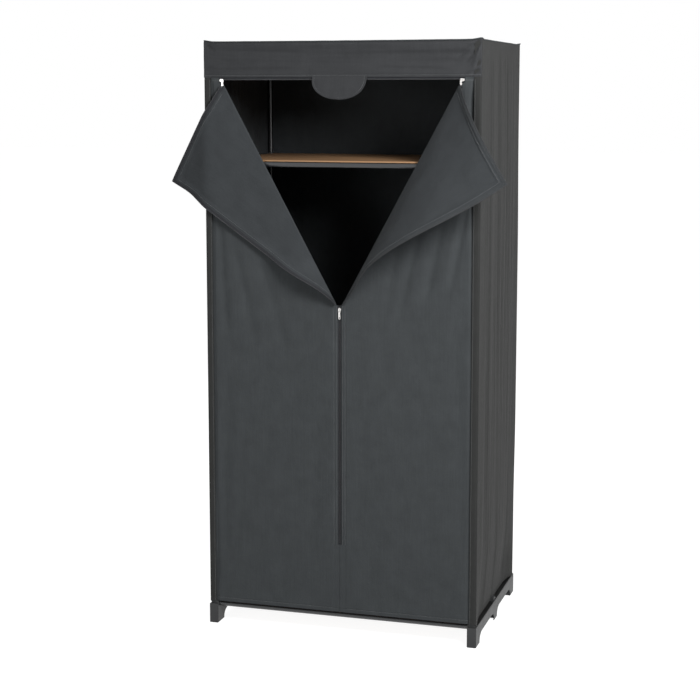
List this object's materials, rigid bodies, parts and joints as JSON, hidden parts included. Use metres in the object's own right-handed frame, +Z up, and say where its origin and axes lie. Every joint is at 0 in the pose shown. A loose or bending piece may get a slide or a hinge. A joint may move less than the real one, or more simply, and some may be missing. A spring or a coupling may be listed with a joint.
{
  "type": "portable fabric wardrobe",
  "caption": "Free-standing cloth wardrobe on a tube frame with plastic feet, a top shelf, a clothes rail and a zipped front whose door flaps fold out.",
  "frame": {"origin": "on the floor, under the middle of the bounding box with the door flaps folded out", "axes": "+Z up, the door faces -Y, +X to the viewer's right seen from the front"},
  "size_m": [1.0636, 0.734, 1.75],
  "materials": {
    "cloth": "matt charcoal woven cloth with a faint sheen",
    "cloth_inside": "matt coated back of the charcoal cloth",
    "dark_plastic": "charcoal moulded plastic with a fine grain",
    "painted_steel": "dark grey powder coat with a soft shine",
    "hardboard": "thin brown hardboard, smooth on top",
    "zip_tape": "black woven zip tape with plastic teeth",
    "zip_metal": "bright nickel-plated metal"
  },
  "bodies": {
    "carcass": {"base_side_right": "dark_plastic", "base_side_left": "dark_plastic", "base_crossbar_front": "painted_steel", "base_crossbar_middle": "painted_steel", "base_crossbar_back": "painted_steel", "floor_board": "hardboard", "post_lower_front_right": "painted_steel", "post_lower_front_left": "painted_steel", "post_middle_front_right": "painted_steel", "post_middle_front_left": "painted_steel", "post_upper_front_right": "painted_steel", "post_upper_front_left": "painted_steel", "post_joiner_front_right": "dark_plastic", "post_joiner_front_left": "dark_plastic", "post_lower_back_right": "painted_steel", "post_lower_back_left": "painted_steel", "post_middle_back_right": "painted_steel", "post_middle_back_left": "painted_steel", "post_upper_back_right": "painted_steel", "post_upper_back_left": "painted_steel", "post_joiner_back_right": "dark_plastic", "post_joiner_back_left": "dark_plastic", "shelf_side_right": "dark_plastic", "shelf_side_left": "dark_plastic", "shelf_rail_front": "painted_steel", "clothes_rail": "painted_steel", "shelf_rail_back": "painted_steel", "shelf_board": "hardboard", "top_side_right": "dark_plastic", "top_side_left": "dark_plastic", "top_rail_front": "painted_steel", "top_rail_back": "painted_steel", "cover_side_right": "cloth", "cover_side_left": "cloth", "cover_back": "cloth", "cover_top": "cloth", "cover_header": "cloth", "cover_front_right": "cloth", "cover_front_left": "cloth", "zip_middle": "zip_tape", "zip_header": "zip_tape"},
    "flap_right": {"flap_right": "cloth_inside", "flap_zip_right": "zip_tape"},
    "flap_left": {"flap_left": "cloth_inside", "flap_zip_left": "zip_tape"},
    "slider_middle": {"slider_middle": "zip_metal"},
    "slider_right": {"slider_right": "zip_metal"},
    "slider_left": {"slider_left": "zip_metal"},
    "pull_middle": {"slider_pull_middle": "zip_metal"},
    "pull_right": {"slider_pull_right": "zip_metal"},
    "pull_left": {"slider_pull_left": "zip_metal"},
    "header_tab": {"header_tab": "cloth"}
  },
  "joints": [
    {"name": "flap_right_fold", "type": "hinge", "parent": "carcass", "child": "flap_right", "pos_m": [0.02465, -0.20137, 0.987], "axis": [-0.4758, 0, -0.8795], "range_deg": [0, 149]},
    {"name": "flap_left_fold", "type": "hinge", "parent": "carcass", "child": "flap_left", "pos_m": [0.01205, -0.20137, 0.987], "axis": [-0.4758, 0, 0.8795], "range_deg": [0, 171]},
    {"name": "slider_middle_run", "type": "slide", "parent": "carcass", "child": "slider_middle", "axis": [0, 0, 1], "range_m": [-0.6945, 0.655]},
    {"name": "slider_right_run", "type": "slide", "parent": "carcass", "child": "slider_right", "axis": [-1, 0, 0], "range_m": [0, 0.3163]},
    {"name": "slider_left_run", "type": "slide", "parent": "carcass", "child": "slider_left", "axis": [1, 0, 0], "range_m": [0, 0.3163]},
    {"name": "pull_middle_swing", "type": "hinge", "parent": "slider_middle", "child": "pull_middle", "pos_m": [0.01835, -0.20212, 0.977], "axis": [-1, 0, 0], "range_deg": [0, 150]},
    {"name": "pull_right_swing", "type": "hinge", "parent": "slider_right", "child": "pull_right", "pos_m": [0.3737, -0.20212, 1.638], "axis": [0, 1, 0], "range_deg": [-35, 90]},
    {"name": "pull_left_swing", "type": "hinge", "parent": "slider_left", "child": "pull_left", "pos_m": [-0.337, -0.20212, 1.638], "axis": [0, -1, 0], "range_deg": [-35, 90]},
    {"name": "header_tab_lift", "type": "hinge", "parent": "carcass", "child": "header_tab", "pos_m": [0.01835, -0.20247, 1.6544], "axis": [-1, 0, 0], "range_deg": [0, 110]}
  ]
}
